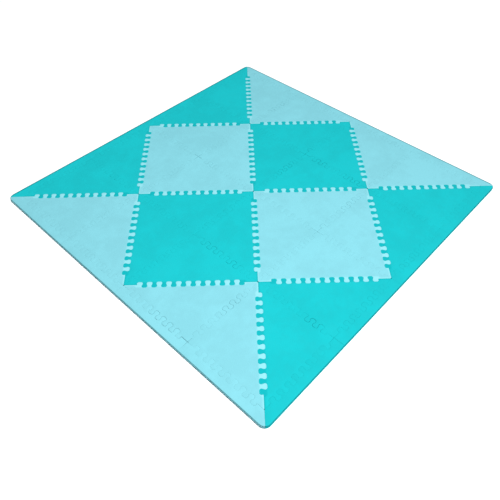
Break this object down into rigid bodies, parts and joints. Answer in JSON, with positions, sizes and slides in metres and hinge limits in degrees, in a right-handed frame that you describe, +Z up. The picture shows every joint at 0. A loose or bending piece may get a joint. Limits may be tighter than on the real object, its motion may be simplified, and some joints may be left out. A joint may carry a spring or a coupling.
{
  "type": "interlocking foam mat",
  "caption": "Square floor mat of interlocking triangular foam tiles in teal and aqua, with round-toothed seams and straight, mitred edge strips.",
  "frame": {"origin": "on the floor, under the middle of the mat", "axes": "+Z up; +X and +Y square to the mat's sides, with teal strips on the sides facing +X and -X and aqua strips on the sides facing +Y and -Y"},
  "size_m": [1.5156, 1.5156, 0.014],
  "materials": {
    "teal_foam": "matte closed-cell foam with a fine pressed grain",
    "aqua_foam": "matte closed-cell foam with a fine pressed grain"
  },
  "bodies": {
    "teal_north_tile_sw": {"teal_north_tile_sw": "teal_foam"},
    "aqua_east_tile_ne": {"aqua_east_tile_ne": "aqua_foam"},
    "aqua_east_tile_nw": {"aqua_east_tile_nw": "aqua_foam"},
    "aqua_east_tile_se": {"aqua_east_tile_se": "aqua_foam"},
    "aqua_east_tile_sw": {"aqua_east_tile_sw": "aqua_foam"},
    "aqua_north_side_east_tile_se": {"aqua_north_side_east_tile_se": "aqua_foam"},
    "aqua_north_side_east_tile_sw": {"aqua_north_side_east_tile_sw": "aqua_foam"},
    "aqua_north_side_west_tile_se": {"aqua_north_side_west_tile_se": "aqua_foam"},
    "aqua_north_side_west_tile_sw": {"aqua_north_side_west_tile_sw": "aqua_foam"},
    "aqua_north_strip_1": {"aqua_north_strip_1": "aqua_foam"},
    "aqua_north_strip_2": {"aqua_north_strip_2": "aqua_foam"},
    "aqua_north_strip_3": {"aqua_north_strip_3": "aqua_foam"},
    "aqua_north_strip_4": {"aqua_north_strip_4": "aqua_foam"},
    "aqua_south_side_east_tile_ne": {"aqua_south_side_east_tile_ne": "aqua_foam"},
    "aqua_south_side_east_tile_nw": {"aqua_south_side_east_tile_nw": "aqua_foam"},
    "aqua_south_side_west_tile_ne": {"aqua_south_side_west_tile_ne": "aqua_foam"},
    "aqua_south_side_west_tile_nw": {"aqua_south_side_west_tile_nw": "aqua_foam"},
    "aqua_south_strip_1": {"aqua_south_strip_1": "aqua_foam"},
    "aqua_south_strip_2": {"aqua_south_strip_2": "aqua_foam"},
    "aqua_south_strip_3": {"aqua_south_strip_3": "aqua_foam"},
    "aqua_south_strip_4": {"aqua_south_strip_4": "aqua_foam"},
    "aqua_west_tile_ne": {"aqua_west_tile_ne": "aqua_foam"},
    "aqua_west_tile_nw": {"aqua_west_tile_nw": "aqua_foam"},
    "aqua_west_tile_se": {"aqua_west_tile_se": "aqua_foam"},
    "aqua_west_tile_sw": {"aqua_west_tile_sw": "aqua_foam"},
    "teal_east_side_north_tile_nw": {"teal_east_side_north_tile_nw": "teal_foam"},
    "teal_east_side_north_tile_sw": {"teal_east_side_north_tile_sw": "teal_foam"},
    "teal_east_side_south_tile_nw": {"teal_east_side_south_tile_nw": "teal_foam"},
    "teal_east_side_south_tile_sw": {"teal_east_side_south_tile_sw": "teal_foam"},
    "teal_east_strip_1": {"teal_east_strip_1": "teal_foam"},
    "teal_east_strip_2": {"teal_east_strip_2": "teal_foam"},
    "teal_east_strip_3": {"teal_east_strip_3": "teal_foam"},
    "teal_east_strip_4": {"teal_east_strip_4": "teal_foam"},
    "teal_north_tile_ne": {"teal_north_tile_ne": "teal_foam"},
    "teal_north_tile_nw": {"teal_north_tile_nw": "teal_foam"},
    "teal_north_tile_se": {"teal_north_tile_se": "teal_foam"},
    "teal_south_tile_ne": {"teal_south_tile_ne": "teal_foam"},
    "teal_south_tile_nw": {"teal_south_tile_nw": "teal_foam"},
    "teal_south_tile_se": {"teal_south_tile_se": "teal_foam"},
    "teal_south_tile_sw": {"teal_south_tile_sw": "teal_foam"},
    "teal_west_side_north_tile_ne": {"teal_west_side_north_tile_ne": "teal_foam"},
    "teal_west_side_north_tile_se": {"teal_west_side_north_tile_se": "teal_foam"},
    "teal_west_side_south_tile_ne": {"teal_west_side_south_tile_ne": "teal_foam"},
    "teal_west_side_south_tile_se": {"teal_west_side_south_tile_se": "teal_foam"},
    "teal_west_strip_1": {"teal_west_strip_1": "teal_foam"},
    "teal_west_strip_2": {"teal_west_strip_2": "teal_foam"},
    "teal_west_strip_3": {"teal_west_strip_3": "teal_foam"},
    "teal_west_strip_4": {"teal_west_strip_4": "teal_foam"}
  },
  "joints": [
    {"name": "lift_aqua_east_tile_ne", "type": "slide", "parent": "teal_north_tile_sw", "child": "aqua_east_tile_ne", "axis": [0, 0, 1], "range_m": [0, 0.04]},
    {"name": "lift_aqua_east_tile_nw", "type": "slide", "parent": "teal_north_tile_sw", "child": "aqua_east_tile_nw", "axis": [0, 0, 1], "range_m": [0, 0.04]},
    {"name": "lift_aqua_east_tile_se", "type": "slide", "parent": "teal_north_tile_sw", "child": "aqua_east_tile_se", "axis": [0, 0, 1], "range_m": [0, 0.04]},
    {"name": "lift_aqua_east_tile_sw", "type": "slide", "parent": "teal_north_tile_sw", "child": "aqua_east_tile_sw", "axis": [0, 0, 1], "range_m": [0, 0.04]},
    {"name": "lift_aqua_north_side_east_tile_se", "type": "slide", "parent": "teal_north_tile_sw", "child": "aqua_north_side_east_tile_se", "axis": [0, 0, 1], "range_m": [0, 0.04]},
    {"name": "lift_aqua_north_side_east_tile_sw", "type": "slide", "parent": "teal_north_tile_sw", "child": "aqua_north_side_east_tile_sw", "axis": [0, 0, 1], "range_m": [0, 0.04]},
    {"name": "lift_aqua_north_side_west_tile_se", "type": "slide", "parent": "teal_north_tile_sw", "child": "aqua_north_side_west_tile_se", "axis": [0, 0, 1], "range_m": [0, 0.04]},
    {"name": "lift_aqua_north_side_west_tile_sw", "type": "slide", "parent": "teal_north_tile_sw", "child": "aqua_north_side_west_tile_sw", "axis": [0, 0, 1], "range_m": [0, 0.04]},
    {"name": "lift_aqua_north_strip_1", "type": "slide", "parent": "teal_north_tile_sw", "child": "aqua_north_strip_1", "axis": [0, 0, 1], "range_m": [0, 0.04]},
    {"name": "lift_aqua_north_strip_2", "type": "slide", "parent": "teal_north_tile_sw", "child": "aqua_north_strip_2", "axis": [0, 0, 1], "range_m": [0, 0.04]},
    {"name": "lift_aqua_north_strip_3", "type": "slide", "parent": "teal_north_tile_sw", "child": "aqua_north_strip_3", "axis": [0, 0, 1], "range_m": [0, 0.04]},
    {"name": "lift_aqua_north_strip_4", "type": "slide", "parent": "teal_north_tile_sw", "child": "aqua_north_strip_4", "axis": [0, 0, 1], "range_m": [0, 0.04]},
    {"name": "lift_aqua_south_side_east_tile_ne", "type": "slide", "parent": "teal_north_tile_sw", "child": "aqua_south_side_east_tile_ne", "axis": [0, 0, 1], "range_m": [0, 0.04]},
    {"name": "lift_aqua_south_side_east_tile_nw", "type": "slide", "parent": "teal_north_tile_sw", "child": "aqua_south_side_east_tile_nw", "axis": [0, 0, 1], "range_m": [0, 0.04]},
    {"name": "lift_aqua_south_side_west_tile_ne", "type": "slide", "parent": "teal_north_tile_sw", "child": "aqua_south_side_west_tile_ne", "axis": [0, 0, 1], "range_m": [0, 0.04]},
    {"name": "lift_aqua_south_side_west_tile_nw", "type": "slide", "parent": "teal_north_tile_sw", "child": "aqua_south_side_west_tile_nw", "axis": [0, 0, 1], "range_m": [0, 0.04]},
    {"name": "lift_aqua_south_strip_1", "type": "slide", "parent": "teal_north_tile_sw", "child": "aqua_south_strip_1", "axis": [0, 0, 1], "range_m": [0, 0.04]},
    {"name": "lift_aqua_south_strip_2", "type": "slide", "parent": "teal_north_tile_sw", "child": "aqua_south_strip_2", "axis": [0, 0, 1], "range_m": [0, 0.04]},
    {"name": "lift_aqua_south_strip_3", "type": "slide", "parent": "teal_north_tile_sw", "child": "aqua_south_strip_3", "axis": [0, 0, 1], "range_m": [0, 0.04]},
    {"name": "lift_aqua_south_strip_4", "type": "slide", "parent": "teal_north_tile_sw", "child": "aqua_south_strip_4", "axis": [0, 0, 1], "range_m": [0, 0.04]},
    {"name": "lift_aqua_west_tile_ne", "type": "slide", "parent": "teal_north_tile_sw", "child": "aqua_west_tile_ne", "axis": [0, 0, 1], "range_m": [0, 0.04]},
    {"name": "lift_aqua_west_tile_nw", "type": "slide", "parent": "teal_north_tile_sw", "child": "aqua_west_tile_nw", "axis": [0, 0, 1], "range_m": [0, 0.04]},
    {"name": "lift_aqua_west_tile_se", "type": "slide", "parent": "teal_north_tile_sw", "child": "aqua_west_tile_se", "axis": [0, 0, 1], "range_m": [0, 0.04]},
    {"name": "lift_aqua_west_tile_sw", "type": "slide", "parent": "teal_north_tile_sw", "child": "aqua_west_tile_sw", "axis": [0, 0, 1], "range_m": [0, 0.04]},
    {"name": "lift_teal_east_side_north_tile_nw", "type": "slide", "parent": "teal_north_tile_sw", "child": "teal_east_side_north_tile_nw", "axis": [0, 0, 1], "range_m": [0, 0.04]},
    {"name": "lift_teal_east_side_north_tile_sw", "type": "slide", "parent": "teal_north_tile_sw", "child": "teal_east_side_north_tile_sw", "axis": [0, 0, 1], "range_m": [0, 0.04]},
    {"name": "lift_teal_east_side_south_tile_nw", "type": "slide", "parent": "teal_north_tile_sw", "child": "teal_east_side_south_tile_nw", "axis": [0, 0, 1], "range_m": [0, 0.04]},
    {"name": "lift_teal_east_side_south_tile_sw", "type": "slide", "parent": "teal_north_tile_sw", "child": "teal_east_side_south_tile_sw", "axis": [0, 0, 1], "range_m": [0, 0.04]},
    {"name": "lift_teal_east_strip_1", "type": "slide", "parent": "teal_north_tile_sw", "child": "teal_east_strip_1", "axis": [0, 0, 1], "range_m": [0, 0.04]},
    {"name": "lift_teal_east_strip_2", "type": "slide", "parent": "teal_north_tile_sw", "child": "teal_east_strip_2", "axis": [0, 0, 1], "range_m": [0, 0.04]},
    {"name": "lift_teal_east_strip_3", "type": "slide", "parent": "teal_north_tile_sw", "child": "teal_east_strip_3", "axis": [0, 0, 1], "range_m": [0, 0.04]},
    {"name": "lift_teal_east_strip_4", "type": "slide", "parent": "teal_north_tile_sw", "child": "teal_east_strip_4", "axis": [0, 0, 1], "range_m": [0, 0.04]},
    {"name": "lift_teal_north_tile_ne", "type": "slide", "parent": "teal_north_tile_sw", "child": "teal_north_tile_ne", "axis": [0, 0, 1], "range_m": [0, 0.04]},
    {"name": "lift_teal_north_tile_nw", "type": "slide", "parent": "teal_north_tile_sw", "child": "teal_north_tile_nw", "axis": [0, 0, 1], "range_m": [0, 0.04]},
    {"name": "lift_teal_north_tile_se", "type": "slide", "parent": "teal_north_tile_sw", "child": "teal_north_tile_se", "axis": [0, 0, 1], "range_m": [0, 0.04]},
    {"name": "lift_teal_south_tile_ne", "type": "slide", "parent": "teal_north_tile_sw", "child": "teal_south_tile_ne", "axis": [0, 0, 1], "range_m": [0, 0.04]},
    {"name": "lift_teal_south_tile_nw", "type": "slide", "parent": "teal_north_tile_sw", "child": "teal_south_tile_nw", "axis": [0, 0, 1], "range_m": [0, 0.04]},
    {"name": "lift_teal_south_tile_se", "type": "slide", "parent": "teal_north_tile_sw", "child": "teal_south_tile_se", "axis": [0, 0, 1], "range_m": [0, 0.04]},
    {"name": "lift_teal_south_tile_sw", "type": "slide", "parent": "teal_north_tile_sw", "child": "teal_south_tile_sw", "axis": [0, 0, 1], "range_m": [0, 0.04]},
    {"name": "lift_teal_west_side_north_tile_ne", "type": "slide", "parent": "teal_north_tile_sw", "child": "teal_west_side_north_tile_ne", "axis": [0, 0, 1], "range_m": [0, 0.04]},
    {"name": "lift_teal_west_side_north_tile_se", "type": "slide", "parent": "teal_north_tile_sw", "child": "teal_west_side_north_tile_se", "axis": [0, 0, 1], "range_m": [0, 0.04]},
    {"name": "lift_teal_west_side_south_tile_ne", "type": "slide", "parent": "teal_north_tile_sw", "child": "teal_west_side_south_tile_ne", "axis": [0, 0, 1], "range_m": [0, 0.04]},
    {"name": "lift_teal_west_side_south_tile_se", "type": "slide", "parent": "teal_north_tile_sw", "child": "teal_west_side_south_tile_se", "axis": [0, 0, 1], "range_m": [0, 0.04]},
    {"name": "lift_teal_west_strip_1", "type": "slide", "parent": "teal_north_tile_sw", "child": "teal_west_strip_1", "axis": [0, 0, 1], "range_m": [0, 0.04]},
    {"name": "lift_teal_west_strip_2", "type": "slide", "parent": "teal_north_tile_sw", "child": "teal_west_strip_2", "axis": [0, 0, 1], "range_m": [0, 0.04]},
    {"name": "lift_teal_west_strip_3", "type": "slide", "parent": "teal_north_tile_sw", "child": "teal_west_strip_3", "axis": [0, 0, 1], "range_m": [0, 0.04]},
    {"name": "lift_teal_west_strip_4", "type": "slide", "parent": "teal_north_tile_sw", "child": "teal_west_strip_4", "axis": [0, 0, 1], "range_m": [0, 0.04]}
  ]
}
